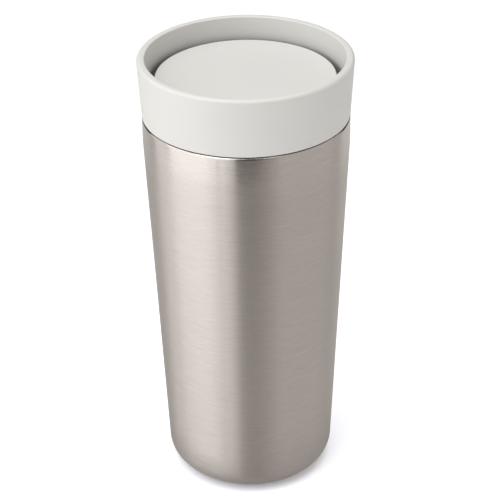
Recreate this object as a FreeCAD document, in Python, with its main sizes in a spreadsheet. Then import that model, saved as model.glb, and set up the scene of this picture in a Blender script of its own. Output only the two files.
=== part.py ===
import FreeCAD, Part
import math
import os
import re
import Sketcher

# Double-wall steel travel mug with a screw-in lid that opens all round its rim when the centre is pressed.
# Millimetres, +Z up. The origin is the centre of the base, on the surface the mug stands on.

SIZES = {
    # outer wall: a cone from the base up to a short straight band under the mouth
    "base_cone_radius": 33.15,
    "wall_slope": 0.0433,
    "band_foot": 144.2,
    "mouth_height": 154.9,
    "steel": 0.5,
    "base_round": 9.1,
    "lip_round": 0.9,
    "foot_radius": 21.0,
    "hem_round": 1.0,
    "hem_height": 3.0,
    # inner wall
    "liner_inset": 3.6,
    "liner_floor": 8.5,
    "liner_round": 8.0,
    "shoulder_height": 132.0,
    "shoulder_rise": 2.0,
    "neck_radius": 36.6,
    # pieces in the base
    "dimple_radius": 4.0,
    "dimple_depth": 1.2,
    "vent_radius": 0.8,
    "bead_radius": 2.4,
    "bead_height": 0.8,
    "cover_height": 1.5,
    "cover_dish": 0.5,
    "cover_gap": 0.15,
    "cover_ramp": 2.9,
    "getter_radius": 2.5,
    "getter_height": 1.2,
    "getter_offset": 11.0,
    "strap_width": 4.0,
    "strap_foot": 2.5,
    "strap_sheet": 0.3,
    # three-start screw thread between lid and neck
    "thread_starts": 3,
    "thread_lead": 13.5,
    "ridge_root": 1.9,
    "ridge_crest": 1.0,
    "neck_ridge_height": 1.3,
    "plug_ridge_height": 1.25,
    "ridge_start": 142.5,
    "ridge_offset": 1.6,
    "neck_ridge_turns": 0.42,
    "plug_ridge_turns": 0.3,
    # drinking collar
    "total_height": 178.0,
    "collar_foot": 155.25,
    "collar_foot_radius": 39.36,
    "rim_radius": 40.6,
    "rim_width": 3.0,
    "rim_round": 1.3,
    "rim_inner_round": 0.5,
    "collar_edge": 0.3,
    "bowl_radius": 35.2,
    "flange_radius": 37.8,
    "flange_height": 2.0,
    # threaded plug
    "plug_radius": 35.0,
    "plug_wall": 2.0,
    "skirt_radius": 33.8,
    "skirt_top": 134.5,
    "skirt_foot": 126.0,
    "skirt_wall": 2.6,
    "groove_foot": 127.2,
    "groove_depth": 1.4,
    "groove_width": 4.0,
    "seat_height": 137.0,
    "seat_sheet": 2.5,
    "port_radius": 24.0,
    "funnel_foot": 27.0,
    "funnel_under": 28.0,
    "funnel_apex": 149.5,
    "funnel_mouth": 34.2,
    "spoke_width": 4.0,
    "spoke_count": 3,
    "hub_wall": 1.8,
    "hub_height": 7.0,
    # gasket
    "gasket_radius": 34.9,
    "gasket_play": 0.1,
    "lip_depth": 0.9,
    # latch
    "housing_radius": 10.0,
    "housing_bore": 8.5,
    "housing_top": 158.0,
    "housing_floor": 3.4,
    "gland_radius": 4.3,
    "gland_depth": 1.8,
    "rib_inner": 6.3,
    "rib_width": 1.8,
    "rib_foot": 151.6,
    "cam_rise": 0.8,
    "key_count": 8,
    "key_width": 1.1,
    "key_radius": 8.2,
    "cap_sheet": 1.6,
    "cap_bore": 2.9,
    "stem_radius": 2.5,
    "running_gap": 0.05,
    "oring_section": 0.75,
    "washer_radius": 7.6,
    "washer_sheet": 0.6,
    "spring_radius": 4.7,
    "spring_wire": 0.35,
    "spring_turns": 5.5,
    "rotor_foot": 149.7,
    "rotor_height": 4.5,
    "rotor_radius": 5.8,
    "rotor_gap": 0.1,
    "rotor_angle": 15.5,
    "shoulder_gap": 0.15,
    "shoulder_thickness": 3.5,
    # button
    "button_edge_height": 169.9,
    "button_radius": 34.1,
    "button_rise": 0.9,
    "button_round": 0.5,
    "button_skirt": 4.6,
    "button_wall": 1.8,
    "boss_radius": 4.6,
    "boss_depth": 2.6,
    "shield_radius": 12.6,
    "shield_wall": 1.1,
    "shield_depth": 14.0,
    "rib_depth": 2.4,
    "rib_sheet": 1.2,
    "button_ribs": 6,
    "stem_foot": 130.6,
    "stem_into_boss": 0.4,
    # valve
    "valve_gap": 0.15,
    "valve_radius": 27.8,
    "valve_sheet": 2.0,
    "valve_hub_radius": 6.0,
    "valve_hub_height": 1.6,
    "seal_inner": 24.6,
    "seal_width": 2.4,
    "seal_height": 1.5,
    "seal_stand": 0.6,
    "seal_lip": 0.3,
    "clip_radius": 4.2,
    "clip_sheet": 0.6,
    "clip_groove": 0.7,
    "clip_opening": 3.0,
}
FUNCTIONS = ("sqrt", "sin", "cos", "tan")

doc = FreeCAD.newDocument("TravelMug")
sheet = doc.addObject("Spreadsheet::Sheet", "Sizes")
for row, (alias, value) in enumerate(SIZES.items(), start=1):
    sheet.set(f"A{row}", alias)
    sheet.set(f"B{row}", str(value))
    sheet.setAlias(f"B{row}", alias)
doc.recompute()

parts = []


def from_sheet(formula):
    """Write a formula of size names as an expression that reads the sheet."""
    def full_name(match):
        word = match.group(0)
        return word if word in FUNCTIONS else "Sizes." + word
    return re.sub(r"[a-z]\w+", full_name, str(formula))


def value_of(formula):
    return float(sheet.evalExpression(from_sheet(formula)))


# Radii of the outer wall, the liner and the rounded base, as formulas of the height.
def wall_radius(height):
    return f"(base_cone_radius + wall_slope*({height}))"


def liner_radius(height):
    return f"({wall_radius(height)} - liner_inset)"


LEAN = "sqrt(1 + wall_slope*wall_slope)"


def wall_round_centre(height, radius, side_radius):
    """Radius of the centre of an arc at this height that touches the sloping side from inside."""
    return f"({side_radius(height)} - ({radius})*{LEAN})"


def wall_touch(centre_radius, centre_height, radius):
    """The point where such an arc meets the sloping side."""
    return (f"{centre_radius} + ({radius})/{LEAN}",
            f"{centre_height} - ({radius})*wall_slope/{LEAN}")


def new_body(label):
    body = doc.addObject("PartDesign::Body", "Body_" + label)
    body.Label = label
    parts.append(body)
    return body


def new_sketch(body, name, role="XZ_Plane"):
    plane = next(feature for feature in body.Origin.OriginFeatures if feature.Role == role)
    sketch = body.newObject("Sketcher::SketchObject", f"{body.Label}_{name}")
    sketch.AttachmentSupport = [(plane, "")]
    sketch.MapMode = "FlatFace"
    return sketch


def arc_between(start, end, radius):
    """The arc of under half a turn from start to end; it turns left if the radius is positive."""
    chord = end - start
    half = chord.Length/2
    rise = math.sqrt(max(radius*radius - half*half, 0))
    across = FreeCAD.Vector(-chord.y, chord.x, 0).normalize()
    centre = start + chord*0.5 + across*(rise if radius > 0 else -rise)
    first = math.atan2(start.y - centre.y, start.x - centre.x)
    last = math.atan2(end.y - centre.y, end.x - centre.x)
    circle = Part.Circle(centre, FreeCAD.Vector(0, 0, 1), abs(radius))
    return Part.ArcOfCircle(circle, first, last) if radius > 0 else Part.ArcOfCircle(circle, last, first)


def place_vertex(sketch, edge, end, formulas):
    """Tie one end of an edge to its two formulas, each measured from the sketch's origin."""
    for kind, formula in zip(("DistanceX", "DistanceY"), formulas):
        number = value_of(formula)
        if abs(number) < 1e-9:
            axis = -2 if kind == "DistanceX" else -1
            sketch.addConstraint(Sketcher.Constraint("PointOnObject", edge, end, axis))
            continue
        index = sketch.addConstraint(Sketcher.Constraint(kind, -1, 1, edge, end, number))
        sketch.setExpression(f"Constraints[{index}]", from_sheet(formula))


def draw_outline(sketch, outline):
    """Draw a closed outline of (across, up) formulas; a third entry makes the run to that point an arc."""
    spots = [FreeCAD.Vector(value_of(point[0]), value_of(point[1]), 0) for point in outline]
    for index, point in enumerate(outline):
        start = spots[index - 1]
        if len(point) == 3:
            sketch.addGeometry(arc_between(start, spots[index], value_of(point[2])), False)
        else:
            sketch.addGeometry(Part.LineSegment(start, spots[index]), False)
    for index, point in enumerate(outline):
        following = (index + 1) % len(outline)
        leaves_left = len(outline[following]) == 3 and value_of(outline[following][2]) < 0
        arrives_left = len(point) == 3 and value_of(point[2]) < 0
        end = 1 if arrives_left else 2
        start = 2 if leaves_left else 1
        sketch.addConstraint(Sketcher.Constraint("Coincident", index, end, following, start))
        place_vertex(sketch, index, end, point)
        if len(point) == 3:
            size = sketch.addConstraint(Sketcher.Constraint("Radius", index, abs(value_of(point[2]))))
            sketch.setExpression(f"Constraints[{size}]", from_sheet(point[2].lstrip("-")))


def revolve(body, name, outline):
    sketch = new_sketch(body, name + "_outline")
    draw_outline(sketch, outline)
    turn = body.newObject("PartDesign::Revolution", f"{body.Label}_{name}")
    turn.Profile = sketch
    turn.ReferenceAxis = (sketch, ["V_Axis"])
    turn.Angle = 360
    doc.recompute()
    return turn


def box_outline(low, high):
    return [(low[0], low[1]), (high[0], low[1]), (high[0], high[1]), (low[0], high[1])]


def ring(body, name, inner, outer, low, high):
    return revolve(body, name, box_outline((inner, low), (outer, high)))


def repeat(body, feature, axis_sketch, count):
    pattern = body.newObject("PartDesign::PolarPattern", f"{feature.Name}_all")
    pattern.Originals = [feature]
    pattern.Axis = axis_sketch
    pattern.Angle = 360
    pattern.Occurrences = int(value_of(count))
    body.Tip = pattern
    doc.recompute()
    return pattern


def thread_ridges(body, ridge_section, turns):
    """A three-start thread: one ridge section swept up a right-hand helix, then repeated round the axis."""
    sketch = new_sketch(body, "ridge_section")
    draw_outline(sketch, ridge_section)
    ridge = body.newObject("PartDesign::AdditiveHelix", body.Label + "_ridge")
    ridge.Profile = sketch
    ridge.ReferenceAxis = (sketch, ["V_Axis"])
    ridge.Mode = "pitch-turns-angle"
    ridge.Angle = 0
    ridge.setExpression("Pitch", from_sheet("thread_lead"))
    ridge.setExpression("Turns", from_sheet(turns))
    doc.recompute()
    return repeat(body, ridge, (sketch, ["V_Axis"]), "thread_starts")


def radial_bars(body, name, outline, inner, outer, count, start_angle="0"):
    """Straight bars that point out from the axis: an outline seen end-on, from one radius to another."""
    sketch = new_sketch(body, name + "_end", "YZ_Plane")
    draw_outline(sketch, outline)
    sketch.setExpression("AttachmentOffset.Base.z", from_sheet(inner))
    bar = body.newObject("PartDesign::Pad", f"{body.Label}_{name}")
    bar.Profile = sketch
    bar.setExpression("Length", from_sheet(f"{outer} - ({inner})"))
    doc.recompute()
    axis = next(feature for feature in body.Origin.OriginFeatures if feature.Role == "Z_Axis")
    return repeat(body, bar, (axis, [""]), count)


# ---------------------------------------------------------------- flask

def make_outer_shell():
    body = new_body("outer_shell")
    base_centre = wall_round_centre("base_round", "base_round", wall_radius)
    band = wall_radius("band_foot")
    lip_height = "(mouth_height - lip_round)"
    lip_centre = f"({band} - lip_round)"
    revolve(body, "wall", [
        ("foot_radius", "hem_round"),
        ("foot_radius + hem_round", "0", "hem_round"),
        (base_centre, "0"),
        (*wall_touch(base_centre, "base_round", "base_round"), "base_round"),
        (band, "band_foot"),
        (band, lip_height),
        (lip_centre, "mouth_height", "lip_round"),
        ("neck_radius + steel", "mouth_height"),
        ("neck_radius + steel", "mouth_height - steel"),
        (lip_centre, "mouth_height - steel"),
        (f"{band} - steel", lip_height, "-(lip_round - steel)"),
        (f"{band} - steel", "band_foot"),
        wall_touch(base_centre, "base_round", "base_round - steel"),
        (base_centre, "steel", "-(base_round - steel)"),
        ("foot_radius + hem_round", "steel"),
        ("foot_radius + steel", "hem_round", "-(hem_round - steel)"),
        ("foot_radius + steel", "hem_height"),
        ("foot_radius", "hem_height"),
    ])


def make_inner_liner():
    body = new_body("inner_liner")
    inside_height = "(liner_floor + liner_round)"
    inside_centre = wall_round_centre(inside_height, "liner_round", liner_radius)
    neck_foot = "(shoulder_height + shoulder_rise)"
    shoulder = liner_radius("shoulder_height")
    outside_round = "(liner_round + steel)"
    revolve(body, "wall", [
        ("0", "liner_floor - steel"),
        (inside_centre, "liner_floor - steel"),
        (*wall_touch(inside_centre, inside_height, outside_round), outside_round),
        (f"{shoulder} + steel", "shoulder_height"),
        ("neck_radius + steel", neck_foot),
        ("neck_radius + steel", "mouth_height"),
        ("neck_radius", "mouth_height - steel", "steel"),
        ("neck_radius", neck_foot),
        (shoulder, "shoulder_height"),
        wall_touch(inside_centre, inside_height, "liner_round"),
        (inside_centre, "liner_floor", "-(liner_round)"),
        ("0", "liner_floor"),
    ])
    centre = "ridge_start + ridge_offset"
    thread_ridges(body, [
        ("neck_radius + steel/2", f"{centre} - ridge_root/2"),
        ("neck_radius + steel/2", f"{centre} + ridge_root/2"),
        ("neck_radius - neck_ridge_height", f"{centre} + ridge_crest/2"),
        ("neck_radius - neck_ridge_height", f"{centre} - ridge_crest/2"),
    ], "neck_ridge_turns")


def make_base_plate():
    body = new_body("base_plate")
    revolve(body, "plate", [
        ("vent_radius", "hem_height + dimple_depth"),
        ("dimple_radius - steel", "hem_height + dimple_depth"),
        ("dimple_radius", "hem_height"),
        ("foot_radius + steel", "hem_height"),
        ("foot_radius + steel", "hem_height + steel"),
        ("dimple_radius + steel", "hem_height + steel"),
        ("dimple_radius", "hem_height + dimple_depth + steel"),
        ("vent_radius", "hem_height + dimple_depth + steel"),
    ])


def make_vacuum_seal_bead():
    body = new_body("vacuum_seal_bead")
    dimple_top = "hem_height + dimple_depth"
    revolve(body, "drop", [
        ("0", f"{dimple_top} - bead_height"),
        ("bead_radius", dimple_top, "(bead_radius^2 + bead_height^2)/(2*bead_height)"),
        ("vent_radius", dimple_top),
        ("vent_radius", f"{dimple_top} + steel"),
        ("0", f"{dimple_top} + steel"),
    ])


def make_base_cover():
    body = new_body("base_cover")
    rim = "foot_radius - cover_gap"
    revolve(body, "disc", [
        ("0", "cover_height + cover_dish"),
        (f"{rim} - 2*cover_ramp", "cover_height + cover_dish"),
        (f"{rim} - cover_ramp", "cover_height"),
        (rim, "cover_height"),
        (rim, "cover_height + steel"),
        (f"{rim} - cover_ramp", "cover_height + steel"),
        (f"{rim} - 2*cover_ramp", "cover_height + cover_dish + steel"),
        ("0", "cover_height + cover_dish + steel"),
    ])


def make_getter():
    floor = "hem_height + steel"
    pellet = doc.addObject("Part::Cylinder", "Body_getter_pellet")
    pellet.Label = "getter_pellet"
    pellet.setExpression("Radius", from_sheet("getter_radius"))
    pellet.setExpression("Height", from_sheet("getter_height"))
    pellet.setExpression("Placement.Base.x", from_sheet("getter_offset"))
    pellet.setExpression("Placement.Base.z", from_sheet(floor))
    parts.append(pellet)

    body = new_body("getter_clip")
    sketch = new_sketch(body, "side")
    inner = "getter_radius"
    outer = "getter_radius + strap_sheet"
    top = f"{floor} + getter_height"
    draw_outline(sketch, [
        (f"getter_offset - {outer} - strap_foot", floor),
        (f"getter_offset - {inner}", floor),
        (f"getter_offset - {inner}", top),
        (f"getter_offset + {inner}", top),
        (f"getter_offset + {inner}", floor),
        (f"getter_offset + {outer} + strap_foot", floor),
        (f"getter_offset + {outer} + strap_foot", f"{floor} + strap_sheet"),
        (f"getter_offset + {outer}", f"{floor} + strap_sheet"),
        (f"getter_offset + {outer}", f"{top} + strap_sheet"),
        (f"getter_offset - ({outer})", f"{top} + strap_sheet"),
        (f"getter_offset - ({outer})", f"{floor} + strap_sheet"),
        (f"getter_offset - {outer} - strap_foot", f"{floor} + strap_sheet"),
    ])
    strap = body.newObject("PartDesign::Pad", "getter_clip_strap")
    strap.Profile = sketch
    strap.setExpression("Length", from_sheet("strap_width"))
    strap.Midplane = True
    doc.recompute()


# ---------------------------------------------------------------- lid

def make_lid_gasket():
    body = new_body("lid_gasket")
    low = "(groove_foot + gasket_play)"
    high = "(groove_foot + groove_width - gasket_play)"
    middle = "(groove_foot + groove_width/2)"
    root = "skirt_radius - groove_depth + gasket_play"
    revolve(body, "lips", [
        (root, low),
        ("gasket_radius - lip_depth", low),
        ("gasket_radius", f"{low} + lip_depth/2"),
        ("gasket_radius - lip_depth", f"{low} + lip_depth"),
        ("gasket_radius - lip_depth", f"{middle} - lip_depth/4"),
        ("gasket_radius", f"{middle} + lip_depth/4"),
        ("gasket_radius - lip_depth", f"{middle} + lip_depth*3/4"),
        ("gasket_radius - lip_depth", high),
        (root, high),
    ])


def make_drinking_collar():
    body = new_body("drinking_collar")
    inner = "(rim_radius - rim_width)"
    flange_top = "collar_foot + flange_height"
    revolve(body, "ring", [
        ("flange_radius", "collar_foot"),
        ("collar_foot_radius - collar_edge", "collar_foot"),
        ("collar_foot_radius", "collar_foot + collar_edge", "collar_edge"),
        ("rim_radius", "total_height - rim_round"),
        ("rim_radius - rim_round", "total_height", "rim_round"),
        (f"{inner} + rim_inner_round", "total_height"),
        (inner, "total_height - rim_inner_round", "rim_inner_round"),
        ("bowl_radius", flange_top),
        ("flange_radius", flange_top),
    ])


def make_threaded_plug():
    body = new_body("threaded_plug")
    flange_top = "(collar_foot + flange_height)"
    wall = "plug_radius - plug_wall"
    seat_top = "(seat_height + seat_sheet)"
    skirt_inner = "(skirt_radius - skirt_wall)"
    groove_root = "skirt_radius - groove_depth"
    revolve(body, "walls", [
        ("port_radius", "seat_height"),
        ("funnel_under", "seat_height"),
        (wall, "funnel_apex"),
        (wall, "skirt_top + plug_wall"),
        (skirt_inner, "skirt_top"),
        (skirt_inner, "skirt_foot"),
        ("skirt_radius", "skirt_foot"),
        ("skirt_radius", "groove_foot"),
        (groove_root, "groove_foot"),
        (groove_root, "groove_foot + groove_width"),
        ("skirt_radius", "groove_foot + groove_width"),
        ("skirt_radius", "skirt_top - plug_radius + skirt_radius"),
        ("plug_radius", "skirt_top"),
        ("plug_radius", "collar_foot"),
        ("flange_radius", "collar_foot"),
        ("flange_radius", flange_top),
        ("funnel_mouth", flange_top),
        ("funnel_foot", seat_top),
        ("port_radius", seat_top),
    ])
    hub_top = "seat_height + hub_height"
    ring(body, "hub", "housing_radius", "housing_radius + hub_wall", "seat_height", hub_top)
    half = "spoke_width/2"
    spoke = box_outline((f"-{half}", "seat_height"), (half, seat_top))
    radial_bars(body, "spokes", spoke,
                "housing_radius + hub_wall/2", "port_radius + plug_wall/2", "spoke_count")
    thread_ridges(body, [
        ("plug_radius - plug_wall/2", "ridge_start - ridge_root/2"),
        ("plug_radius + plug_ridge_height", "ridge_start - ridge_crest/2"),
        ("plug_radius + plug_ridge_height", "ridge_start + ridge_crest/2"),
        ("plug_radius - plug_wall/2", "ridge_start + ridge_root/2"),
    ], "plug_ridge_turns")


def make_latch_housing():
    body = new_body("latch_housing")
    floor = "(seat_height + housing_floor)"
    bore = "stem_radius + running_gap"
    revolve(body, "cup", [
        (bore, "seat_height"),
        ("housing_radius", "seat_height"),
        ("housing_radius", "housing_top"),
        ("housing_bore", "housing_top"),
        ("housing_bore", floor),
        ("gland_radius", floor),
        ("gland_radius", f"{floor} - gland_depth"),
        (bore, f"{floor} - gland_depth"),
    ])
    half = "rib_width/2"
    radial_bars(body, "ribs", [
        (f"-{half}", "rib_foot"),
        (half, "rib_foot + cam_rise"),
        (half, "housing_top"),
        (f"-{half}", "housing_top"),
    ], "rib_inner", "(housing_radius + housing_bore)/2", "key_count")


def make_latch_cap():
    body = new_body("latch_cap")
    ring(body, "ring", "cap_bore", "housing_radius", "housing_top", "housing_top + cap_sheet")


def make_stem_oring():
    body = new_body("stem_oring")
    middle = "seat_height + housing_floor - gland_depth/2"
    centre = "stem_radius + running_gap + oring_section"
    revolve(body, "ring", [
        (f"{centre} + oring_section", middle, "oring_section"),
        (centre, f"{middle} + oring_section", "oring_section"),
        (f"{centre} - oring_section", middle, "oring_section"),
        (centre, f"{middle} - oring_section", "oring_section"),
    ])


def make_spring_seat():
    body = new_body("spring_seat")
    floor = "seat_height + housing_floor"
    ring(body, "washer", "stem_radius + rotor_gap", "washer_radius", floor, f"{floor} + washer_sheet")


def make_return_spring():
    body = new_body("return_spring")
    low = "(seat_height + housing_floor + washer_sheet + spring_wire + running_gap)"
    high = "(rotor_foot - spring_wire - running_gap)"
    sketch = new_sketch(body, "wire_section")
    centre = FreeCAD.Vector(value_of("spring_radius"), value_of(low), 0)
    sketch.addGeometry(Part.Circle(centre, FreeCAD.Vector(0, 0, 1), value_of("spring_wire")), False)
    place_vertex(sketch, 0, 3, ("spring_radius", low))
    size = sketch.addConstraint(Sketcher.Constraint("Radius", 0, value_of("spring_wire")))
    sketch.setExpression(f"Constraints[{size}]", from_sheet("spring_wire"))
    coils = body.newObject("PartDesign::AdditiveHelix", "return_spring_coils")
    coils.Profile = sketch
    coils.ReferenceAxis = (sketch, ["V_Axis"])
    coils.Mode = "height-turns-angle"
    coils.Angle = 0
    coils.setExpression("Height", from_sheet(f"{high} - {low}"))
    coils.setExpression("Turns", from_sheet("spring_turns"))
    doc.recompute()


# ---------------------------------------------------------------- latch rotor and button

def make_latch_rotor():
    body = new_body("latch_rotor")
    top = "rotor_foot + rotor_height"
    ring(body, "sleeve", "stem_radius + rotor_gap", "rotor_radius", "rotor_foot", top)
    half = "key_width/2"
    radial_bars(body, "keys", [
        (f"-{half}", "rotor_foot + rotor_gap"),
        (half, "rotor_foot + rotor_gap"),
        (half, top),
        (f"-{half}", f"{top} - cam_rise"),
    ], "rotor_radius - rotor_gap", "key_radius", "key_count")
    body.setExpression("Placement.Rotation.Angle", from_sheet("rotor_angle"))


def make_button_stem():
    body = new_body("button_stem")
    shoulder_foot = "(rotor_foot + rotor_height + shoulder_gap)"
    shoulder_top = f"({shoulder_foot} + shoulder_thickness)"
    clip_top = valve_foot() + " - running_gap"
    clip_foot = f"{clip_top} - clip_sheet"
    neck = "stem_radius - clip_groove"
    revolve(body, "rod", [
        ("0", "stem_foot"),
        ("stem_radius", "stem_foot"),
        ("stem_radius", clip_foot),
        (neck, clip_foot),
        (neck, clip_top),
        ("stem_radius", clip_top),
        ("stem_radius", shoulder_foot),
        ("rotor_radius", shoulder_foot),
        ("rotor_radius", shoulder_top),
        ("stem_radius", shoulder_top),
        ("stem_radius", "button_edge_height - button_wall - stem_into_boss"),
        ("0", "button_edge_height - button_wall - stem_into_boss"),
    ])
    half = "key_width/2"
    radial_bars(body, "keys", box_outline((f"-{half}", shoulder_foot), (half, shoulder_top)),
                "rotor_radius - rotor_gap", "key_radius", "key_count")
    body.setExpression("Placement.Rotation.Angle", from_sheet("180/key_count"))


def dome_radius(reach):
    """Radius of the shallow dome that rises by button_rise over this reach."""
    return f"(({reach})^2 + button_rise^2)/(2*button_rise)"


def make_button_cap():
    body = new_body("button_cap")
    reach = "(button_radius - button_round)"
    under = "(button_edge_height - button_wall)"
    shield_inner = "shield_radius - shield_wall"
    revolve(body, "disc", [
        ("0", under),
        ("stem_radius", under),
        ("stem_radius", f"{under} - boss_depth"),
        ("boss_radius", f"{under} - boss_depth"),
        ("boss_radius", under),
        (shield_inner, under),
        (shield_inner, f"{under} - shield_depth"),
        ("shield_radius", f"{under} - shield_depth"),
        ("shield_radius", under),
        ("button_radius - button_wall", under),
        ("button_radius - button_wall", "button_edge_height - button_skirt"),
        ("button_radius - button_wall/3", "button_edge_height - button_skirt"),
        ("button_radius", "button_edge_height - button_round"),
        (reach, "button_edge_height", "button_round"),
        ("0", "button_edge_height + button_rise", dome_radius(reach)),
    ])
    half = "rib_sheet/2"
    rib = box_outline((f"-{half}", f"{under} - rib_depth"), (half, f"{under} + {half}"))
    radial_bars(body, "ribs", rib,
                "shield_radius - shield_wall/2", "button_radius - button_wall/2", "button_ribs")


def valve_top():
    return "seat_height - valve_gap - seal_stand - seal_lip"


def valve_foot():
    return f"{valve_top()} - valve_sheet - valve_hub_height"


def make_valve_plate():
    body = new_body("valve_plate")
    top = valve_top()
    under = f"{top} - valve_sheet"
    seal_outer = "seal_inner + seal_width"
    revolve(body, "plate", [
        ("stem_radius", valve_foot()),
        ("valve_hub_radius", valve_foot()),
        ("valve_hub_radius", under),
        ("valve_radius", under),
        ("valve_radius", top),
        (seal_outer, top),
        (seal_outer, f"{top} + seal_stand - seal_height"),
        ("seal_inner", f"{top} + seal_stand - seal_height"),
        ("seal_inner", top),
        ("stem_radius", top),
    ])


def make_valve_seal():
    body = new_body("valve_seal")
    low = f"{valve_top()} + seal_stand - seal_height"
    high = f"{valve_top()} + seal_stand"
    outer = "seal_inner + seal_width"
    revolve(body, "ring", [
        ("seal_inner", low),
        (outer, low),
        (outer, high),
        ("seal_inner + seal_width/2", f"{high} + seal_lip"),
        ("seal_inner", high),
    ])


def make_valve_clip():
    body = new_body("valve_clip")
    top = valve_foot() + " - running_gap"
    ring(body, "washer", "stem_radius - clip_groove", "clip_radius", f"{top} - clip_sheet", top)
    sketch = new_sketch(body, "opening_outline", "XY_Plane")
    draw_outline(sketch, box_outline(("0", "-clip_opening/2"), ("clip_radius*2", "clip_opening/2")))
    sketch.setExpression("AttachmentOffset.Base.z", from_sheet(f"{top} - clip_sheet*2"))
    opening = body.newObject("PartDesign::Pocket", "valve_clip_opening")
    opening.Profile = sketch
    opening.Reversed = True
    opening.setExpression("Length", from_sheet("clip_sheet*3"))
    doc.recompute()


make_outer_shell()
make_inner_liner()
make_base_plate()
make_vacuum_seal_bead()
make_base_cover()
make_getter()
make_lid_gasket()
make_drinking_collar()
make_threaded_plug()
make_latch_housing()
make_latch_cap()
make_stem_oring()
make_spring_seat()
make_return_spring()
make_latch_rotor()
make_button_stem()
make_button_cap()
make_valve_plate()
make_valve_seal()
make_valve_clip()
doc.recompute()

for item in doc.Objects:
    if "Invalid" in item.State or "Error" in item.State:
        raise RuntimeError(f"{item.Label} did not recompute: {item.State}")
os.makedirs("parts", exist_ok=True)
for part in parts:
    if part.Shape.isNull() or not part.Shape.isValid() or len(part.Shape.Solids) != 1:
        raise RuntimeError(f"{part.Label} is not one sound solid")
    part.Shape.exportStep(f"parts/{part.Label}.step")
    box = part.Shape.BoundBox
    print(f"{part.Label:18s} {part.Shape.Volume:10.1f} mm3  z {box.ZMin:7.2f} to {box.ZMax:7.2f}")
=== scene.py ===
import math
import bpy
import bmesh
from mathutils import Matrix, Vector


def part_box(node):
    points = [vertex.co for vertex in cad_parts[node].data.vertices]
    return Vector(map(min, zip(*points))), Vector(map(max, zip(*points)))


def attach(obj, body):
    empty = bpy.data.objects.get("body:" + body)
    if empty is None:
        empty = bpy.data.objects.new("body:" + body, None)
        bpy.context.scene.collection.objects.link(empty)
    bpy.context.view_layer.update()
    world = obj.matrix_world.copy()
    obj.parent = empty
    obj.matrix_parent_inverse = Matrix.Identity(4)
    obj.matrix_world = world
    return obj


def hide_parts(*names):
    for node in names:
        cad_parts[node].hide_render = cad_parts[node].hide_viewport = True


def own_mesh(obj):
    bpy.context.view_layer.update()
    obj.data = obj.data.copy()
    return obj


# Looks of the travel mug: lathe-turned shells, a screw thread, materials and studio light.
# Blender works in metres. Outlines are (radius, height) in millimetres, made metres by MM.

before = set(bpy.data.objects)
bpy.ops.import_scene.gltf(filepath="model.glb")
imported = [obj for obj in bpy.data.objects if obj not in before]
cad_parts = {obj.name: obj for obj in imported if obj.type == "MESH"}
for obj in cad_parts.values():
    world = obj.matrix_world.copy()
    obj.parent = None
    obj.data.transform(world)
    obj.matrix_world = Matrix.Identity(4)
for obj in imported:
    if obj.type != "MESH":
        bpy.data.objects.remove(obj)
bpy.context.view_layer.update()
MM = 0.001


def top_of(node):
    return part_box(node)[1].z/MM


def foot_of(node):
    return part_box(node)[0].z/MM


def radius_of(node):
    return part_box(node)[1].x/MM


# ------------------------------------------------------------------ sizes, in millimetres
# SHEET is the thickness of the steel. The outer wall is a cone, then a straight band from BAND_FOOT up.
# SEAT is the height of the plug's underside, where the valve closes. The RIDGE sizes are the thread's.
SHEET = 0.5
CONE_FOOT = 33.15
CONE_SLOPE = 0.0433
BAND_FOOT = 144.2
BAND_RADIUS = CONE_FOOT + CONE_SLOPE*BAND_FOOT
MOUTH = top_of("outer_shell")
NECK = 36.6
SHOULDER = 132.0
LINER_INSET = 3.6
LINER_FLOOR = foot_of("inner_liner") + SHEET
HEM_RADIUS = 21.0
BOWL_RADIUS = 35.2
RIM_TOP = top_of("drinking_collar")
RIM_RADIUS = radius_of("drinking_collar")
COLLAR_FOOT = foot_of("drinking_collar")
FLANGE_RADIUS = radius_of("threaded_plug")
FLANGE_TOP = top_of("threaded_plug")
BUTTON_TOP = top_of("button_cap")
BUTTON_RADIUS = radius_of("button_cap")
BUTTON_RISE = 0.9
BUTTON_ROUND = 0.5
BUTTON_EDGE = BUTTON_TOP - BUTTON_RISE
CLIP_WIDTH = 1.7
STEM_RADIUS = radius_of("valve_clip") - CLIP_WIDTH
PLUG_FOOT = foot_of("threaded_plug")
SEAT = foot_of("latch_housing")
PLUG_RADIUS = 35.0
THREAD_LEAD = 13.5
THREAD_STARTS = 3
RIDGE_START = 142.5
RIDGE_ROOT = 1.9
RIDGE_CREST = 1.0

# faces round a turned piece, and the sharpest edge that is smoothed, in degrees
SEGMENTS = 224
CREASE = 34


# ------------------------------------------------------------------ mesh helpers

def finish_mesh(name, bm, crease=CREASE):
    """Turn a bmesh into an object, smooth except where faces meet at more than the crease, in degrees."""
    bmesh.ops.recalc_face_normals(bm, faces=bm.faces)
    for face in bm.faces:
        face.smooth = True
    for edge in bm.edges:
        edge.smooth = len(edge.link_faces) == 2 and edge.calc_face_angle(0) < math.radians(crease)
    mesh = bpy.data.meshes.new(name)
    bm.to_mesh(mesh)
    bm.free()
    piece = bpy.data.objects.new(name, mesh)
    bpy.context.scene.collection.objects.link(piece)
    return piece


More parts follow.
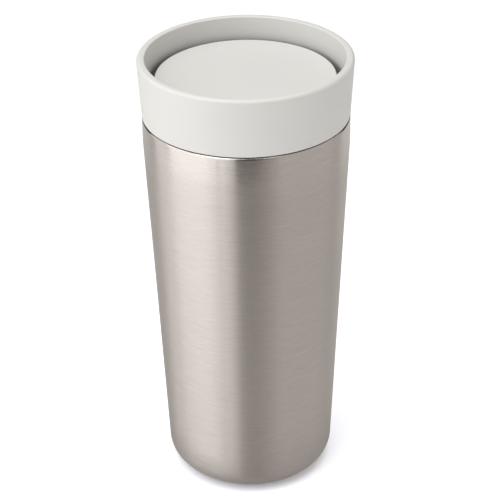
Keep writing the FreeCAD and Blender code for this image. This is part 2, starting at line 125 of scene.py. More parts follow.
def round_corners(corners, closed=True, step=8):
    """Corners are (radius, height, rounding) in millimetres; returns the line with each corner rounded.
    A rounding has a point at least every step degrees."""
    count = len(corners)
    line = []
    for index, (across, up, rounding) in enumerate(corners):
        here = Vector((across, up))
        at_end = not closed and index in (0, count - 1)
        if rounding <= 0 or at_end:
            line.append(here)
            continue
        before = (Vector(corners[index - 1][:2]) - here).normalized()
        after = (Vector(corners[(index + 1) % count][:2]) - here).normalized()
        opening = before.angle(after)
        centre = here + (before + after).normalized()*rounding/math.sin(opening/2)
        reach = rounding/math.tan(opening/2)
        first = here + before*reach - centre
        last = here + after*reach - centre
        turn = math.atan2(first.x*last.y - first.y*last.x, first.dot(last))
        pieces = max(2, math.ceil(abs(math.degrees(turn))/step))
        for k in range(pieces + 1):
            angle = turn*k/pieces
            line.append(centre + Vector((first.x*math.cos(angle) - first.y*math.sin(angle),
                                         first.x*math.sin(angle) + first.y*math.cos(angle))))
    return line


def divide(line, longest, closed=True):
    """Add points so that no run of the line is longer than this."""
    out = []
    count = len(line)
    for index in range(count):
        out.append(line[index])
        if index == count - 1 and not closed:
            break
        following = line[(index + 1) % count]
        runs = math.ceil((following - line[index]).length/longest)
        for k in range(1, runs):
            out.append(line[index].lerp(following, k/runs))
    return out


def around(line):
    """Each run of a closed line, as its two ends."""
    return zip(line, line[1:] + line[:1])


def lathe(name, line, closed=True, segments=SEGMENTS, bulge=None, crease=CREASE):
    """Turn a line round the Z axis. bulge(angle, radius, height) adds to the radius, in millimetres.
    The point attribute "along" holds the distance along the line, in metres, for turning marks."""
    bm = bmesh.new()
    along = bm.verts.layers.float.new("along")
    rows = []
    travelled = 0
    for index, point in enumerate(line):
        if index:
            travelled += (point - line[index - 1]).length
        if point.x < 1e-6:
            row = [bm.verts.new((0, 0, point.y*MM))]
        else:
            row = []
            for column in range(segments):
                angle = 2*math.pi*column/segments
                radius = point.x + (bulge(angle, point.x, point.y) if bulge else 0)
                row.append(bm.verts.new((radius*MM*math.cos(angle), radius*MM*math.sin(angle), point.y*MM)))
        for vert in row:
            vert[along] = travelled*MM
        rows.append(row)
    pairs = list(zip(rows, rows[1:]))
    if closed:
        pairs.append((rows[-1], rows[0]))
    for low, high in pairs:
        if len(low) == 1 and len(high) == 1:
            continue
        for column in range(segments):
            following = (column + 1) % segments
            if len(low) == 1:
                bm.faces.new((low[0], high[following], high[column]))
            elif len(high) == 1:
                bm.faces.new((low[column], low[following], high[0]))
            else:
                bm.faces.new((low[column], low[following], high[following], high[column]))
    return finish_mesh(name, bm, crease)


def bar(name, inner, outer, width, low, high, angle, rounding):
    """A straight bar that points out from the axis at an angle in degrees, with rounded long edges."""
    half = width/2
    section = round_corners([
        (-half, low, 0),
        (half, low, 0),
        (half, high, rounding),
        (-half, high, rounding),
    ], step=22)
    turn = Matrix.Rotation(math.radians(angle), 3, "Z")
    bm = bmesh.new()
    ends = []
    for radius in (inner, outer):
        ends.append([bm.verts.new(turn @ Vector((radius, point.x, point.y))*MM) for point in section])
    count = len(section)
    for index in range(count):
        following = (index + 1) % count
        bm.faces.new((ends[0][index], ends[0][following], ends[1][following], ends[1][index]))
    bm.faces.new(ends[0])
    bm.faces.new(ends[1])
    return finish_mesh(name, bm)


def unite(piece, others, crease=CREASE):
    """Fuse closed pieces into the first one, so that its mesh is one skin."""
    for other in others:
        union = piece.modifiers.new("union", "BOOLEAN")
        union.operation = "UNION"
        union.solver = "EXACT"
        union.object = other
    fused = bpy.data.meshes.new_from_object(piece.evaluated_get(bpy.context.evaluated_depsgraph_get()))
    name = piece.name
    for used in (piece, *others):
        bpy.data.objects.remove(used)
    bm = bmesh.new()
    bm.from_mesh(fused)
    bpy.data.meshes.remove(fused)
    return finish_mesh(name, bm, crease)


def thread_ridge(turns, offset=0.0):
    """A function of angle and height that gives the height, from 0 to 1, of a right-hand thread's ridge.
    The thread has THREAD_STARTS starts, and each ridge runs out at its ends."""
    run_out = math.radians(14)

    def height_at(angle, height):
        most = 0.0
        for start in range(THREAD_STARTS):
            travel = (angle - 2*math.pi*start/THREAD_STARTS) % (2*math.pi)
            if travel > turns*2*math.pi:
                continue
            centre = RIDGE_START + offset + THREAD_LEAD*travel/(2*math.pi)
            flank = (RIDGE_ROOT/2 - abs(height - centre))/(RIDGE_ROOT/2 - RIDGE_CREST/2)
            flank = min(max(flank, 0), 1)
            end = min(travel, turns*2*math.pi - travel)/run_out
            end = min(max(end, 0), 1)
            most = max(most, flank*flank*(3 - 2*flank)*math.sqrt(end*(2 - end)))
        return most
    return height_at


def dress(piece, body, material, node):
    """Put a piece on its body with its material, in place of the CAD node it stands for."""
    piece.data.materials.clear()
    piece.data.materials.append(material)
    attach(piece, body)
    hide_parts(node)


def refine(node, material):
    """Keep a CAD node and give it a finer material."""
    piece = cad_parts[node]
    piece.data.materials.clear()
    piece.data.materials.append(material)


# ------------------------------------------------------------------ materials

class Nodes:
    """A material's node tree, with short calls for the nodes that the finishes share."""

    def __init__(self, name):
        self.material = bpy.data.materials.new(name)
        self.material.use_nodes = True
        self.tree = self.material.node_tree
        self.tree.nodes.clear()
        self.shader = self.add("ShaderNodeBsdfPrincipled")
        output = self.add("ShaderNodeOutputMaterial")
        self.link(self.shader.outputs["BSDF"], output.inputs["Surface"])
        self.coordinates = self.add("ShaderNodeTexCoord").outputs["Object"]

    def add(self, kind, **settings):
        node = self.tree.nodes.new(kind)
        for key, value in settings.items():
            setattr(node, key, value)
        return node

    def link(self, output, target):
        self.tree.links.new(output, target)

    def fixed(self, **values):
        """Numbers and colours that are the same all over the surface."""
        for key, value in values.items():
            self.shader.inputs[key.replace("_", " ")].default_value = value

    def math(self, operation, first, second=0.0):
        """Work out a number from two numbers or links."""
        node = self.add("ShaderNodeMath", operation=operation)
        for socket, value in zip(node.inputs, (first, second)):
            if isinstance(value, (int, float)):
                socket.default_value = value
            else:
                self.link(value, socket)
        return node.outputs[0]

    def stretched(self, across, up, from_attribute):
        """Coordinates for turning marks: slow round the axis, quick along the turned line."""
        split = self.add("ShaderNodeSeparateXYZ")
        self.link(self.coordinates, split.inputs[0])
        join = self.add("ShaderNodeCombineXYZ")
        self.link(self.math("MULTIPLY", split.outputs["X"], across), join.inputs["X"])
        self.link(self.math("MULTIPLY", split.outputs["Y"], across), join.inputs["Y"])
        line = split.outputs["Z"]
        if from_attribute:
            line = self.add("ShaderNodeAttribute", attribute_name="along").outputs["Fac"]
        self.link(self.math("MULTIPLY", line, up), join.inputs["Z"])
        return join.outputs[0]

    def noise(self, scale, vector=None, detail=3.0, roughness=0.6):
        """Noise of about 0 to 1; a scale of 100 has grains of about 10 mm."""
        node = self.add("ShaderNodeTexNoise")
        node.inputs["Scale"].default_value = scale
        node.inputs["Detail"].default_value = detail
        node.inputs["Roughness"].default_value = roughness
        self.link(vector if vector is not None else self.coordinates, node.inputs["Vector"])
        return node.outputs["Fac"]

    def ranged(self, value, low, high, start=0.0, end=1.0):
        """From low to high as the value goes from start to end, and no further."""
        node = self.add("ShaderNodeMapRange")
        for name, number in zip(("From Min", "From Max", "To Min", "To Max"), (start, end, low, high)):
            node.inputs[name].default_value = number
        self.link(value, node.inputs["Value"])
        return node.outputs["Result"]

    def mixed(self, factor, first, second):
        """Mix two colours; each is a colour or a link."""
        node = self.add("ShaderNodeMix", data_type="RGBA")
        self.link(factor, node.inputs["Factor"])
        for socket, value in zip((node.inputs[6], node.inputs[7]), (first, second)):
            if isinstance(value, tuple):
                socket.default_value = (*value, 1)
            else:
                self.link(value, socket)
        return node.outputs[2]

    def edges(self, start, end):
        """From 0 on flat stretches to 1 on outer edges."""
        return self.ranged(self.add("ShaderNodeNewGeometry").outputs["Pointiness"], 0, 1, start, end)

    def bump(self, height, distance):
        """Relief from a height of 0 to 1; the distance is the depth of 1, in metres."""
        node = self.add("ShaderNodeBump")
        node.inputs["Distance"].default_value = distance
        self.link(height, node.inputs["Height"])
        self.link(node.outputs["Normal"], self.shader.inputs["Normal"])

    def colour(self, output):
        self.link(output, self.shader.inputs["Base Color"])

    def roughness(self, output):
        self.link(output, self.shader.inputs["Roughness"])


def tinted(colour, share):
    """A lighter or darker colour."""
    return tuple(min(channel*share, 1) for channel in colour)


def turned_steel(name, colour, roughness, anisotropy, line_scale, from_attribute=True, fine_band=None):
    """Stainless steel brushed or spun round the axis, with about line_scale marks a metre along
    the attribute "along" or, without it, along Z. Up through fine_band, two heights in metres, it gets
    smoother and its marks fade."""
    fine_across, broad_across = 170, 90
    broad_share = 2.6
    mark_depth = 0.000004
    made = Nodes(name)
    dark = tinted(colour, 0.90)
    light = tinted(colour, 1.055)
    worn = tinted(colour, 1.18)
    fine = made.noise(1.0, made.stretched(fine_across, line_scale, from_attribute), roughness=0.7)
    broad = made.noise(1.0, made.stretched(broad_across, line_scale/broad_share, from_attribute),
                       roughness=0.65)
    cloud = made.noise(26.0, detail=2.0)
    streaks = made.math("ADD", made.math("MULTIPLY", fine, 0.7), made.math("MULTIPLY", broad, 0.3))
    shade = made.mixed(made.ranged(streaks, 0, 1, 0.36, 0.64), dark, light)
    made.colour(made.mixed(made.edges(0.53, 0.62), shade, worn))
    uneven = made.math("ADD", made.ranged(streaks, -0.03, 0.03, 0.36, 0.64),
                       made.ranged(cloud, -0.02, 0.02, 0.3, 0.7))
    marks = streaks
    if fine_band:
        low, high = fine_band
        fading_from = low - 0.016
        place = made.add("ShaderNodeSeparateXYZ")
        made.link(made.coordinates, place.inputs[0])
        uneven = made.math("ADD", uneven, made.ranged(place.outputs["Z"], 0, -0.12, low, high))
        marks = made.math("MULTIPLY", streaks, made.ranged(place.outputs["Z"], 1, 0.15, fading_from, high))
    made.roughness(made.math("ADD", uneven, roughness))
    made.bump(marks, mark_depth)
    made.fixed(Metallic=1.0, Anisotropic=anisotropy, Anisotropic_Rotation=0.25)
    tangent = made.add("ShaderNodeTangent", direction_type="RADIAL", axis="Z")
    made.link(tangent.outputs[0], made.shader.inputs["Tangent"])
    return made.material


def moulded_plastic(name, colour, roughness, grain_depth, worn_share=0.35, subsurface=0.06, painted_gap_shade=False):
    """Matt moulded plastic with a fine spark-eroded grain and burnished edges.
    If asked, it darkens its colour deep in narrow gaps with an ambient-occlusion term: painted shade."""
    made = Nodes(name)
    warm = tuple(channel*share for channel, share in zip(colour, (1.012, 1.0, 0.982)))
    cool = tuple(channel*share for channel, share in zip(colour, (0.985, 0.992, 1.0)))
    cloud = made.noise(38.0, detail=3.0)
    grain = made.noise(4200.0, detail=2.0, roughness=0.5)
    shade = made.mixed(made.ranged(cloud, 0, 1, 0.35, 0.65), cool, warm)
    worn = tinted(colour, 1.05)
    edge = made.edges(0.52, 0.60)
    surface = made.mixed(made.math("MULTIPLY", edge, worn_share), shade, worn)
    if painted_gap_shade:
        # Painted shade: the colour goes almost black where the ambient-occlusion term finds a narrow gap,
        # standing in for the shade deep in the gap round the button.
        gap = made.add("ShaderNodeAmbientOcclusion", samples=8)
        gap.inputs["Distance"].default_value = 0.006
        gap_shade_mask = made.ranged(gap.outputs["AO"], 1, 0, 0.34, 0.53)
        surface = made.mixed(gap_shade_mask, surface, tinted(colour, 0.06))
    made.colour(surface)
    rough = made.math("ADD", made.ranged(cloud, -0.03, 0.03, 0.3, 0.7),
                      made.ranged(grain, -0.03, 0.03, 0.35, 0.65))
    rough = made.math("SUBTRACT", rough, made.math("MULTIPLY", edge, 0.06))
    made.roughness(made.math("ADD", rough, roughness))
    made.bump(grain, grain_depth)
    made.fixed(IOR=1.49, Subsurface_Weight=subsurface, Subsurface_Scale=0.002)
    made.shader.inputs["Subsurface Radius"].default_value = (1.0, 0.8, 0.6)
    return made.material


def soft_silicone(name, colour, roughness):
    """Silicone rubber: satin, with light passing into it and a faint bloom."""
    made = Nodes(name)
    bloom = made.noise(210.0, detail=3.0)
    dust = made.noise(2600.0, detail=2.0)
    light = tinted(colour, 1.08)
    made.colour(made.mixed(made.ranged(bloom, 0, 1, 0.35, 0.65), colour, light))
    made.roughness(made.math("ADD", made.ranged(dust, -0.05, 0.05, 0.35, 0.65), roughness))
    made.bump(dust, 0.000008)
    made.fixed(IOR=1.41, Subsurface_Weight=0.35, Subsurface_Scale=0.003)
    return made.material


def plain_metal(name, colour, roughness, scale, depth):
    """Small metal pieces, such as drawn wire, solder and sintered alloy; depth is the grain's."""
    made = Nodes(name)
    grain = made.noise(scale, detail=4.0, roughness=0.65)
    cloud = made.noise(scale/9, detail=2.0)
    dark = tinted(colour, 0.8)
    light = tinted(colour, 1.12)
    shade = made.mixed(made.ranged(grain, 0, 1, 0.3, 0.7), dark, light)
    made.colour(made.mixed(made.edges(0.52, 0.6), shade, light))
    made.roughness(made.math("ADD", made.ranged(cloud, -0.08, 0.08, 0.3, 0.7), roughness))
    made.bump(grain, depth)
    made.fixed(Metallic=1.0)
    return made.material


BRUSHED = turned_steel("brushed_shell_steel", (0.66, 0.61, 0.568), 0.34, 0.88, 4300.0,
                       fine_band=(0.134, 0.154))
POLISHED = turned_steel("spun_liner_steel", (0.66, 0.645, 0.625), 0.27, 0.6, 2600.0)
SPUN = turned_steel("spun_cover_steel", (0.57, 0.56, 0.545), 0.34, 0.6, 2600.0)
PRESSED = turned_steel("pressed_base_steel", (0.57, 0.56, 0.545), 0.38, 0.4, 3000.0, from_attribute=False)
# The lid plastic carries painted shade in the narrow gap round the button.
LID = moulded_plastic("lid_plastic", (0.600, 0.597, 0.573), 0.40, 0.000010, painted_gap_shade=True)
# The charcoal of the plug, also used on the valve plate, is chosen so the gap round the button looks dark:
# painted shade.
PLUG = moulded_plastic("plug_plastic", (0.052, 0.052, 0.054), 0.40, 0.000008, 0.2, 0.0)
ACETAL = moulded_plastic("latch_acetal", (0.84, 0.84, 0.82), 0.30, 0.000004, 0.2, 0.12)
SILICONE = soft_silicone("seal_silicone", (0.62, 0.63, 0.62), 0.44)
WIRE = plain_metal("spring_wire_steel", (0.60, 0.60, 0.61), 0.26, 1800.0, 0.000004)
SOLDER = plain_metal("seal_solder", (0.52, 0.52, 0.51), 0.46, 1400.0, 0.00002)
SINTER = plain_metal("getter_alloy", (0.24, 0.23, 0.22), 0.72, 3600.0, 0.00003)


# ------------------------------------------------------------------ flask

def cone(height):
    """Radius of the outer wall at a height below the straight band."""
    return CONE_FOOT + CONE_SLOPE*height


def make_outer_shell():
    """The wall from the hem under the base, up the cone and the band, to the turned-in lip."""
    hem_top = 3.0
    base_round = 9.1
    band_blend = 60.0
    line = round_corners([
        (HEM_RADIUS, hem_top, 0),
        (HEM_RADIUS, 0, 1.0),
        (cone(0), 0, base_round),
        (BAND_RADIUS, BAND_FOOT, band_blend),
        (BAND_RADIUS, MOUTH, 0.9),
        (NECK + SHEET, MOUTH, 0.12),
        (NECK + SHEET, MOUTH - SHEET, 0),
        (BAND_RADIUS - SHEET, MOUTH - SHEET, 0.4),
        (BAND_RADIUS - SHEET, BAND_FOOT, band_blend),
        (cone(SHEET) - SHEET, SHEET, base_round - SHEET),
        (HEM_RADIUS + SHEET, SHEET, 0.5),
        (HEM_RADIUS + SHEET, hem_top, 0),
    ], step=5)
    shell = lathe("outer_shell_steel", divide(line, 12))
    dress(shell, "flask", BRUSHED, "outer_shell")


def make_inner_liner():
    """The inner wall, up its outside and down its inside, with the thread rolled into the neck."""
    wall = cone(LINER_FLOOR) - LINER_INSET
    shoulder = cone(SHOULDER) - LINER_INSET
    shoulder_rise = 2
    floor_round = 8.0
    line = round_corners([
        (0, LINER_FLOOR - SHEET, 0),
        (wall + SHEET, LINER_FLOOR - SHEET, floor_round + SHEET),
        (shoulder + SHEET, SHOULDER, 1.0),
        (NECK + SHEET, SHOULDER + shoulder_rise, 1.0),
        (NECK + SHEET, MOUTH, 0.1),
        (NECK, MOUTH, 0.38),
        (NECK, SHOULDER + shoulder_rise, 1.4),
        (shoulder, SHOULDER, 1.4),
        (wall, LINER_FLOOR, floor_round),
        (0, LINER_FLOOR, 0),
    ], closed=False, step=5)
    ridge_depth = 1.3
    ridge = thread_ridge(turns=0.42, offset=1.6)
    thread_low, thread_high = RIDGE_START - 2, RIDGE_START + 12

    def rolled_in(angle, radius, height):
        """The thread is rolled inwards, so both faces of the sheet move."""
        return -ridge_depth*ridge(angle, height) if thread_low < height < thread_high else 0

    fine = []
    for start, end in zip(line, line[1:]):
        in_neck = abs(start.x - end.x) < 0.01 and start.x > NECK - 0.1 and abs(start.y - end.y) > 5
        fine.extend(divide([start, end], 0.2 if in_neck else 9, closed=False)[:-1])
    fine.append(line[-1])
    liner = lathe("inner_liner_steel", fine, closed=False, bulge=rolled_in, crease=60)
    dress(liner, "flask", POLISHED, "inner_liner")


def make_base_cover():
    """A shallow dish: a flat rim, a ramp, and a middle that stands higher by the dish's depth."""
    gap = 0.15
    rim = HEM_RADIUS - gap
    ramp = 2.9
    dish = 0.5
    low = foot_of("base_cover")
    line = round_corners([
        (0, low + dish, 0),
        (rim - 2*ramp, low + dish, 1.5),
        (rim - ramp, low, 1.5),
        (rim, low, 0.2),
        (rim, low + SHEET, 0.1),
        (rim - ramp, low + SHEET, 1.2),
        (rim - 2*ramp, low + dish + SHEET, 1.2),
        (0, low + dish + SHEET, 0),
    ], closed=False)
    cover = lathe("base_cover_disc", divide(line, 5, closed=False), closed=False)
    dress(cover, "flask", SPUN, "base_cover")


def make_seal_bead():
    """The solder drop over the pump-out hole: a shallow dome below, and a plug in the hole."""
    hole = 0.8
    depth = 0.8
    low, high = foot_of("vacuum_seal_bead"), top_of("vacuum_seal_bead")
    edge = radius_of("vacuum_seal_bead")
    dome = (edge**2 + depth**2)/(2*depth)
    rings = 12
    line = []
    for ring in range(rings + 1):
        radius = edge*ring/rings
        line.append(Vector((radius, low + dome - math.sqrt(dome*dome - radius*radius))))
    line += [Vector((hole, low + depth)), Vector((hole, high)), Vector((0, high))]
    bead = lathe("seal_bead_drop", line, closed=False, segments=96)
    dress(bead, "flask", SOLDER, "vacuum_seal_bead")


# ------------------------------------------------------------------ lid

def make_drinking_collar():
    """The pale ring, a little wider at its rounded rim, with a bowl inside that leads to the plug."""
    foot_radius = 39.36
    rim_width = 3.0
    rim_round = 1.3
    side_slope = (RIM_RADIUS - foot_radius)/(RIM_TOP - rim_round - COLLAR_FOOT)
    line = round_corners([
        (FLANGE_RADIUS, COLLAR_FOOT, 0.15),
        (foot_radius, COLLAR_FOOT, 0.3),
        (RIM_RADIUS + side_slope*rim_round, RIM_TOP, rim_round),
        (RIM_RADIUS - rim_width, RIM_TOP, 0.5),
        (BOWL_RADIUS, FLANGE_TOP, 0.1),
        (FLANGE_RADIUS, FLANGE_TOP, 0.1),
    ], step=6)
    collar = lathe("drinking_collar_ring", divide(line, 4))
    dress(collar, "lid", LID, "drinking_collar")


def make_threaded_plug():
    """The wall with its thread and gasket groove, the funnel to the port, and a hub on three spokes."""
    skirt = 33.8
    skirt_inside = skirt - 2.6
    skirt_top = 134.5
    wall = PLUG_RADIUS - 2.0
    wall_top = 149.5
    seat_top = SEAT + 2.5
    groove_low, groove_high, groove_root = PLUG_FOOT + 1.2, PLUG_FOOT + 5.2, skirt - 1.4
    port = 24.0
    seat_edge = 28.0
    funnel_foot, funnel_mouth = 27.0, 34.2
    corners = [
        (port, SEAT, 0.3),
        (seat_edge, SEAT, 0.8),
        (wall, wall_top, 0.4),
        (wall, skirt_top + 2.0, 0.8),
        (skirt_inside, skirt_top, 0.8),
        (skirt_inside, PLUG_FOOT, 0.5),
        (skirt, PLUG_FOOT, 0.5),
        (skirt, groove_low, 0.15),
        (groove_root, groove_low, 0.2),
        (groove_root, groove_high, 0.2),
        (skirt, groove_high, 0.15),
        (skirt, skirt_top - PLUG_RADIUS + skirt, 0.5),
        (PLUG_RADIUS, skirt_top, 0.5),
        (PLUG_RADIUS, COLLAR_FOOT, 0.2),
        (FLANGE_RADIUS, COLLAR_FOOT, 0.1),
        (FLANGE_RADIUS, FLANGE_TOP, 0.1),
        (funnel_mouth, FLANGE_TOP, 0.4),
        (funnel_foot, seat_top, 2.0),
        (port, seat_top, 0.6),
    ]
    thread_low, thread_high = RIDGE_START - 2, RIDGE_START + 6.5
    line = []
    for start, end in around(round_corners(corners, step=12)):
        on_thread = min(start.x, end.x) > PLUG_RADIUS - 0.01 and abs(start.y - end.y) > 5
        line.extend(divide([start, end], 0.13 if on_thread else 3.0, closed=False)[:-1])
    ridge_height = 1.25
    ridge = thread_ridge(turns=0.3)

    def moulded_thread(angle, radius, height):
        """The thread stands out from the wall, on its outside only."""
        outside = radius > PLUG_RADIUS - 0.01 and thread_low < height < thread_high
        return ridge_height*ridge(angle, height) if outside else 0

    plug = lathe("threaded_plug_body", line, bulge=moulded_thread, crease=60)
    hub_radius, hub_wall, hub_height = radius_of("latch_housing"), 1.8, 7.0
    hub = lathe("hub", round_corners([
        (hub_radius, SEAT, 0.1),
        (hub_radius + hub_wall, SEAT, 0.3),
        (hub_radius + hub_wall, SEAT + hub_height, 0.5),
        (hub_radius, SEAT + hub_height, 0.1),
    ], step=15), segments=96)
    spokes = []
    for number in range(3):
        spokes.append(bar(f"spoke_{number}", hub_radius + hub_wall/2, port + 1.0, width=4.0,
                          low=SEAT, high=seat_top, angle=120*number, rounding=0.6))
    plug = unite(plug, [hub, *spokes], crease=60)
    dress(plug, "lid", PLUG, "threaded_plug")


def make_lid_gasket():
    """A ring with two lips on its outside."""
    outer = radius_of("lid_gasket")
    low, high = foot_of("lid_gasket"), top_of("lid_gasket")
    root = 32.5
    depth = 0.9
    middle = (low + high)/2
    line = round_corners([
        (root, low, 0.1),
        (outer - depth, low, 0.1),
        (outer, low + depth/2, 0.18),
        (outer - depth, low + depth, 0.2),
        (outer - depth, middle - depth/4, 0.2),
        (outer, middle + depth/4, 0.18),
        (outer - depth, middle + depth*0.75, 0.2),
        (outer - depth, high, 0.1),
        (root, high, 0.1),
    ], step=15)
    gasket = lathe("lid_gasket_lips", line)
    dress(gasket, "lid_seal", SILICONE, "lid_gasket")


def make_button_cap():
    """A slightly domed disc with a skirt, a boss for the stem, a shield round the spring, and six ribs."""
    wall = 1.8
    under = BUTTON_EDGE - wall
    foot = BUTTON_EDGE - 4.6
    shield = 12.6
    shield_inside = shield - 1.1
    shield_foot = foot_of("button_cap")
    boss = 4.6
    boss_foot = under - 2.6
    reach = BUTTON_RADIUS - BUTTON_ROUND
    dome = (reach**2 + BUTTON_RISE**2)/(2*BUTTON_RISE)
    below = round_corners([
        (0, under, 0),
        (STEM_RADIUS, under, 0.1),
        (STEM_RADIUS, boss_foot, 0.2),
        (boss, boss_foot, 0.3),
        (boss, under, 0.4),
        (shield_inside, under, 0.4),
        (shield_inside, shield_foot, 0.2),
        (shield, shield_foot, 0.2),
        (shield, under, 0.4),
        (BUTTON_RADIUS - wall, under, 0.8),
        (BUTTON_RADIUS - wall, foot, 0.15),
        (BUTTON_RADIUS - wall/3, foot, 0.15),
        (BUTTON_RADIUS, BUTTON_EDGE - BUTTON_ROUND, 0),
    ], closed=False, step=15)
    edge_centre = Vector((reach, BUTTON_EDGE - BUTTON_ROUND))
    edge = []
    for degrees in range(9, 91, 9):
        angle = math.radians(degrees)
        edge.append(edge_centre + BUTTON_ROUND*Vector((math.cos(angle), math.sin(angle))))
    rings = 24
    top = []
    for ring in range(1, rings + 1):
        radius = reach*(1 - ring/rings)
        top.append(Vector((radius, BUTTON_TOP - dome + math.sqrt(dome*dome - radius*radius))))
    line = divide(below, 3, closed=False) + edge + top
    cap = lathe("button_cap_disc", line, closed=False)
    ribs = []
    for number in range(6):
        ribs.append(bar(f"rib_{number}", shield - 0.5, BUTTON_RADIUS - wall/2, width=1.2,
                        low=under - 2.4, high=under + 0.6, angle=60*number, rounding=0))
    cap = unite(cap, ribs)
    dress(cap, "button", LID, "button_cap")


def make_valve():
    """The plate that closes the port from below, and the seal in its groove."""
    low, high = foot_of("valve_plate"), top_of("valve_plate")
    outer = radius_of("valve_plate")
    boss = 6.0
    plate_foot = high - 2.0
    seal_inner, seal_width = 24.6, 2.4
    seal_low, seal_high = foot_of("valve_seal"), top_of("valve_seal")
    plate = lathe("valve_plate_disc", divide(round_corners([
        (STEM_RADIUS, low, 0.1),
        (boss, low, 0.5),
        (boss, plate_foot, 0.8),
        (outer, plate_foot, 0.6),
        (outer, high, 0.3),
        (seal_inner + seal_width, high, 0.1),
        (seal_inner + seal_width, seal_low, 0.1),
        (seal_inner, seal_low, 0.1),
        (seal_inner, high, 0.1),
        (STEM_RADIUS, high, 0.2),
    ], step=12), 4))
    dress(plate, "button", PLUG, "valve_plate")
    seal = lathe("valve_seal_ring", round_corners([
        (seal_inner, seal_low, 0.1),
        (seal_inner + seal_width, seal_low, 0.1),
        (seal_inner + seal_width, seal_high - 0.3, 0.3),
        (seal_inner + seal_width/2, seal_high, 0.5),
        (seal_inner, seal_high - 0.3, 0.3),
    ], step=12))
    dress(seal, "button", SILICONE, "valve_seal")


def make_return_spring():
    """A wire coil whose end turns lie closer than the rest; the button presses on it. It gets a mesh of its
    own.
    """
    wire = 0.35
    coil_radius = radius_of("return_spring") - wire
    low, high = foot_of("return_spring") + wire, top_of("return_spring") - wire
    turns, steps, sides = 5.5, 264, 10
    end_closeness = 0.045
    bm = bmesh.new()
    rings = []
    for step in range(steps + 1):
        share = step/steps
        eased = share - end_closeness*math.sin(2*math.pi*share)
        angle = 2*math.pi*turns*share
        out = Vector((math.cos(angle), math.sin(angle), 0))
        centre = out*coil_radius + Vector((0, 0, low + (high - low)*eased))
        row = []
        for side in range(sides):
            around_wire = 2*math.pi*side/sides
            row.append(bm.verts.new((centre + wire*(out*math.cos(around_wire)
                                                    + Vector((0, 0, math.sin(around_wire)))))*MM))
        rings.append(row)
    for first, second in zip(rings, rings[1:]):
        for side in range(sides):
            following = (side + 1) % sides
            bm.faces.new((first[side], first[following], second[following], second[side]))
    bm.faces.new(rings[0])
    bm.faces.new(rings[-1])
    spring = finish_mesh("return_spring_wire", bm)
    dress(spring, "lid", WIRE, "return_spring")
    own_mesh(spring)


make_outer_shell()
make_inner_liner()
make_base_cover()
make_seal_bead()
make_drinking_collar()
make_threaded_plug()
make_lid_gasket()
make_button_cap()
make_valve()
make_return_spring()
for node in ("base_plate", "getter_clip"):
    refine(node, PRESSED)
refine("getter_pellet", SINTER)
for node in ("latch_housing", "latch_cap", "latch_rotor", "button_stem"):
    refine(node, ACETAL)
refine("stem_oring", SILICONE)
for node in ("spring_seat", "valve_clip"):
    refine(node, WIRE)


# ------------------------------------------------------------------ studio

LAMP_TARGET = Vector((0, 0, 0.09))
COOL = (0.985, 1.0, 1.035)


def make_camera():
    """A long lens in front of the mug, looking down at about 30 degrees."""
    place = (0, -0.5822, 0.4301)
    pitch, roll, yaw = math.radians(29.92), math.radians(-0.74), math.radians(0.04)
    data = bpy.data.cameras.new("camera")
    camera = bpy.data.objects.new("camera", data)
    bpy.context.scene.collection.objects.link(camera)
    data.sensor_width = 36
    data.lens = 122.89
    data.clip_start = 0.01
    forward = Vector((math.sin(yaw)*math.cos(pitch), math.cos(yaw)*math.cos(pitch), -math.sin(pitch)))
    right = Vector((math.cos(yaw), -math.sin(yaw), 0))
    up = right.cross(forward)
    rolled_right = right*math.cos(roll) + up*math.sin(roll)
    rolled_up = up*math.cos(roll) - right*math.sin(roll)
    turn = Matrix((rolled_right, rolled_up, -forward)).transposed()
    camera.matrix_world = Matrix.Translation(place) @ turn.to_4x4()
    bpy.context.scene.camera = camera


def softbox(name, azimuth, elevation, distance, width, height, watts, colour=(1, 1, 1)):
    """A large lamp that points at the mug. Azimuth 0 is on the camera's side and grows towards +X;
    angles are in degrees."""
    data = bpy.data.lights.new(name, "AREA")
    data.shape = "RECTANGLE"
    data.size, data.size_y = width, height
    data.energy = watts
    data.color = colour
    lamp = bpy.data.objects.new(name, data)
    lamp.visible_camera = False
    bpy.context.scene.collection.objects.link(lamp)
    turn, rise = math.radians(azimuth), math.radians(elevation)
    away = distance*Vector((math.sin(turn)*math.cos(rise), -math.cos(turn)*math.cos(rise), math.sin(rise)))
    facing = away.to_track_quat("Z", "Y").to_matrix().to_4x4()
    lamp.matrix_world = Matrix.Translation(LAMP_TARGET + away) @ facing
    return lamp


def make_key_light(distance, width, height, watts):
    """The large box on the left, with strips of falling brightness that give it a soft right edge."""
    first, last, strips, overlap = -31, -8, 6, 0.3
    elevation = 8
    half_angle = math.degrees(math.atan(width/2/distance))
    softbox("key_softbox", first + overlap - half_angle, elevation, distance, width, height, watts, COOL)
    angle = (last - first)/strips
    strip_width = 2*distance*math.tan(math.radians(angle/2))
    for number in range(strips):
        share = 1 - (number + 0.5)/strips
        softbox(f"key_edge_{number}", first + angle*(number + 0.5), elevation, distance,
                strip_width, height, watts*strip_width/width*share, COOL)


def shiny_only(obj):
    """Leave a stage piece to the mirror of shiny surfaces."""
    obj.visible_camera = False
    obj.visible_diffuse = False
    obj.visible_shadow = False


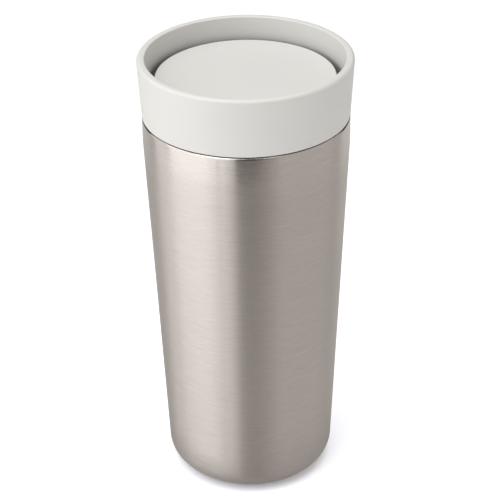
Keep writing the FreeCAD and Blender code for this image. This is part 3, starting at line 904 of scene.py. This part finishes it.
def dark_card(name, left, right, distance, low, high, lit_below, fade=None):
    """An upright card between two azimuths, seen only in the mirror of shiny surfaces. It is lighter
    below the height lit_below, and its glow grows between the two azimuths of fade."""
    black = (0.03, 0.03, 0.03)
    blend = 0.5
    most_glow = 0.40
    bm = bmesh.new()
    corners = []
    for azimuth, height in ((left, low), (right, low), (right, high), (left, high)):
        corners.append(bm.verts.new((distance*math.tan(math.radians(azimuth)), -distance, height)))
    bm.faces.new(corners)
    card = finish_mesh(name, bm)
    felt = Nodes(name + "_felt")
    place = felt.add("ShaderNodeSeparateXYZ")
    felt.link(felt.coordinates, place.inputs[0])
    lit = felt.mixed(felt.noise(40.0), (0.155, 0.138, 0.12), (0.195, 0.172, 0.15))
    darkness = felt.ranged(place.outputs["Z"], 0, 1, lit_below - blend, lit_below)
    felt.colour(felt.mixed(darkness, lit, black))
    felt.fixed(Roughness=0.95, Emission_Color=(1.0, 0.96, 0.93, 1))
    if fade:
        start, end = (distance*math.tan(math.radians(azimuth)) for azimuth in fade)
        glow = felt.ranged(place.outputs["X"], 0, most_glow, start, end)
        felt.link(glow, felt.shader.inputs["Emission Strength"])
    card.data.materials.append(felt.material)
    shiny_only(card)


def make_mirrored_table():
    """A grey patch of table round the mug, which only the lower steel mirrors; its grey is painted shade
    for the table next to the mug.
    """
    bm = bmesh.new()
    bmesh.ops.create_circle(bm, cap_ends=True, radius=0.055, segments=96)
    patch = finish_mesh("table_patch", bm)
    patch.location.z = -0.0005
    grey = Nodes("table_patch_painted_shade")
    # Painted shade: the grey stands in for the shaded table next to the mug, as seen in the lower steel.
    grey.colour(grey.mixed(grey.noise(30.0), (0.36, 0.345, 0.335), (0.40, 0.385, 0.37)))
    grey.fixed(Roughness=0.95)
    patch.data.materials.append(grey.material)
    shiny_only(patch)


def make_floor():
    """Pale paper that glows a little, but not under the mug, and less far from it. The glow is painted
    light, and its absence round the mug paints a tight contact shadow; near the mug the paper is also
    painted a cool shadow grey.
    Each pair is the two distances from the axis, in metres, between which a change takes place."""
    glow_begins = (0.0250, 0.0335)
    glow_fades = (0.08, 0.30)
    shade_ends = (0.030, 0.060)
    bm = bmesh.new()
    bmesh.ops.create_circle(bm, cap_ends=True, radius=4, segments=96)
    floor = finish_mesh("floor", bm)
    floor.location.z = -0.0002
    paper = Nodes("floor_paper")
    mottling = paper.ranged(paper.noise(9.0), 0, 1, 0.4, 0.6)
    tint = paper.mixed(mottling, (0.90, 0.90, 0.905), (0.92, 0.92, 0.92))
    across = paper.add("ShaderNodeSeparateXYZ")
    paper.link(paper.coordinates, across.inputs[0])
    out = paper.math("SQRT", paper.math("ADD", paper.math("POWER", across.outputs["X"], 2),
                                        paper.math("POWER", across.outputs["Y"], 2)))
    # Painted shadow: within shade_ends of the axis the paper turns a cool grey.
    paper.colour(paper.mixed(paper.ranged(out, 0, 1, *shade_ends), (0.85, 0.867, 0.93), tint))
    # Painted light: the glow only starts beyond glow_begins, so the floor next to the mug stays darker, as
    # a painted contact shadow.
    near = paper.ranged(out, 0, 0.34, *glow_begins)
    paper.link(paper.math("MULTIPLY", near, paper.ranged(out, 1.0, 0.2, *glow_fades)),
               paper.shader.inputs["Emission Strength"])
    paper.fixed(Roughness=0.9, Emission_Color=(1, 1, 1, 1))
    floor.data.materials.append(paper.material)
    floor.visible_glossy = False
    floor.visible_shadow = False


def make_lamps():
    """A bright left, a dim right, a soft top, and low lamps behind for the light that a table returns."""
    make_key_light(distance=1.25, width=1.441, height=2.7, watts=9.8)
    softbox("key_core_softbox", -62, 8, distance=1.2, width=0.9, height=2.5, watts=1.2, colour=COOL)
    fill = softbox("key_fill", -54, 20, distance=1.25, width=1.5, height=1.5, watts=1.1)
    fill.visible_glossy = False
    softbox("high_softbox", -44, 58, distance=1.4, width=0.8, height=0.8, watts=3.7)
    softbox("side_softbox", -102, 8, distance=1.3, width=0.8, height=2.8, watts=3.1)
    softbox("back_left_softbox", -150, -16, distance=1.5, width=1.0, height=0.8, watts=0.3)
    softbox("back_right_softbox", 146, -16, distance=1.5, width=1.0, height=0.8, watts=0.4)
    glow = softbox("table_glow_right", 118, -16, distance=1.4, width=0.9, height=0.8, watts=1.8)
    glow.visible_glossy = False
    sheen = softbox("right_sheen", 70, -12, distance=1.4, width=1.8, height=2.4, watts=0.62)
    sheen.visible_diffuse = False
    softbox("top_softbox", 170, 87, distance=1.4, width=1.4, height=1.4, watts=11.9)


def make_studio():
    world = bpy.data.worlds.new("studio")
    world.use_nodes = True
    world.node_tree.nodes["Background"].inputs["Color"].default_value = (0.53, 0.515, 0.505, 1)
    bpy.context.scene.world = world
    make_floor()
    make_lamps()
    make_mirrored_table()
    dark_card("front_flag", -12, 34, distance=1.15, low=-0.50, high=4.0, lit_below=0.15, fade=(8, 33))
    dark_card("room_behind", -60, 60, distance=-1.3, low=-0.14, high=4.5, lit_below=-0.1)
    bpy.context.scene.view_settings.view_transform = "Standard"


make_camera()
make_studio()
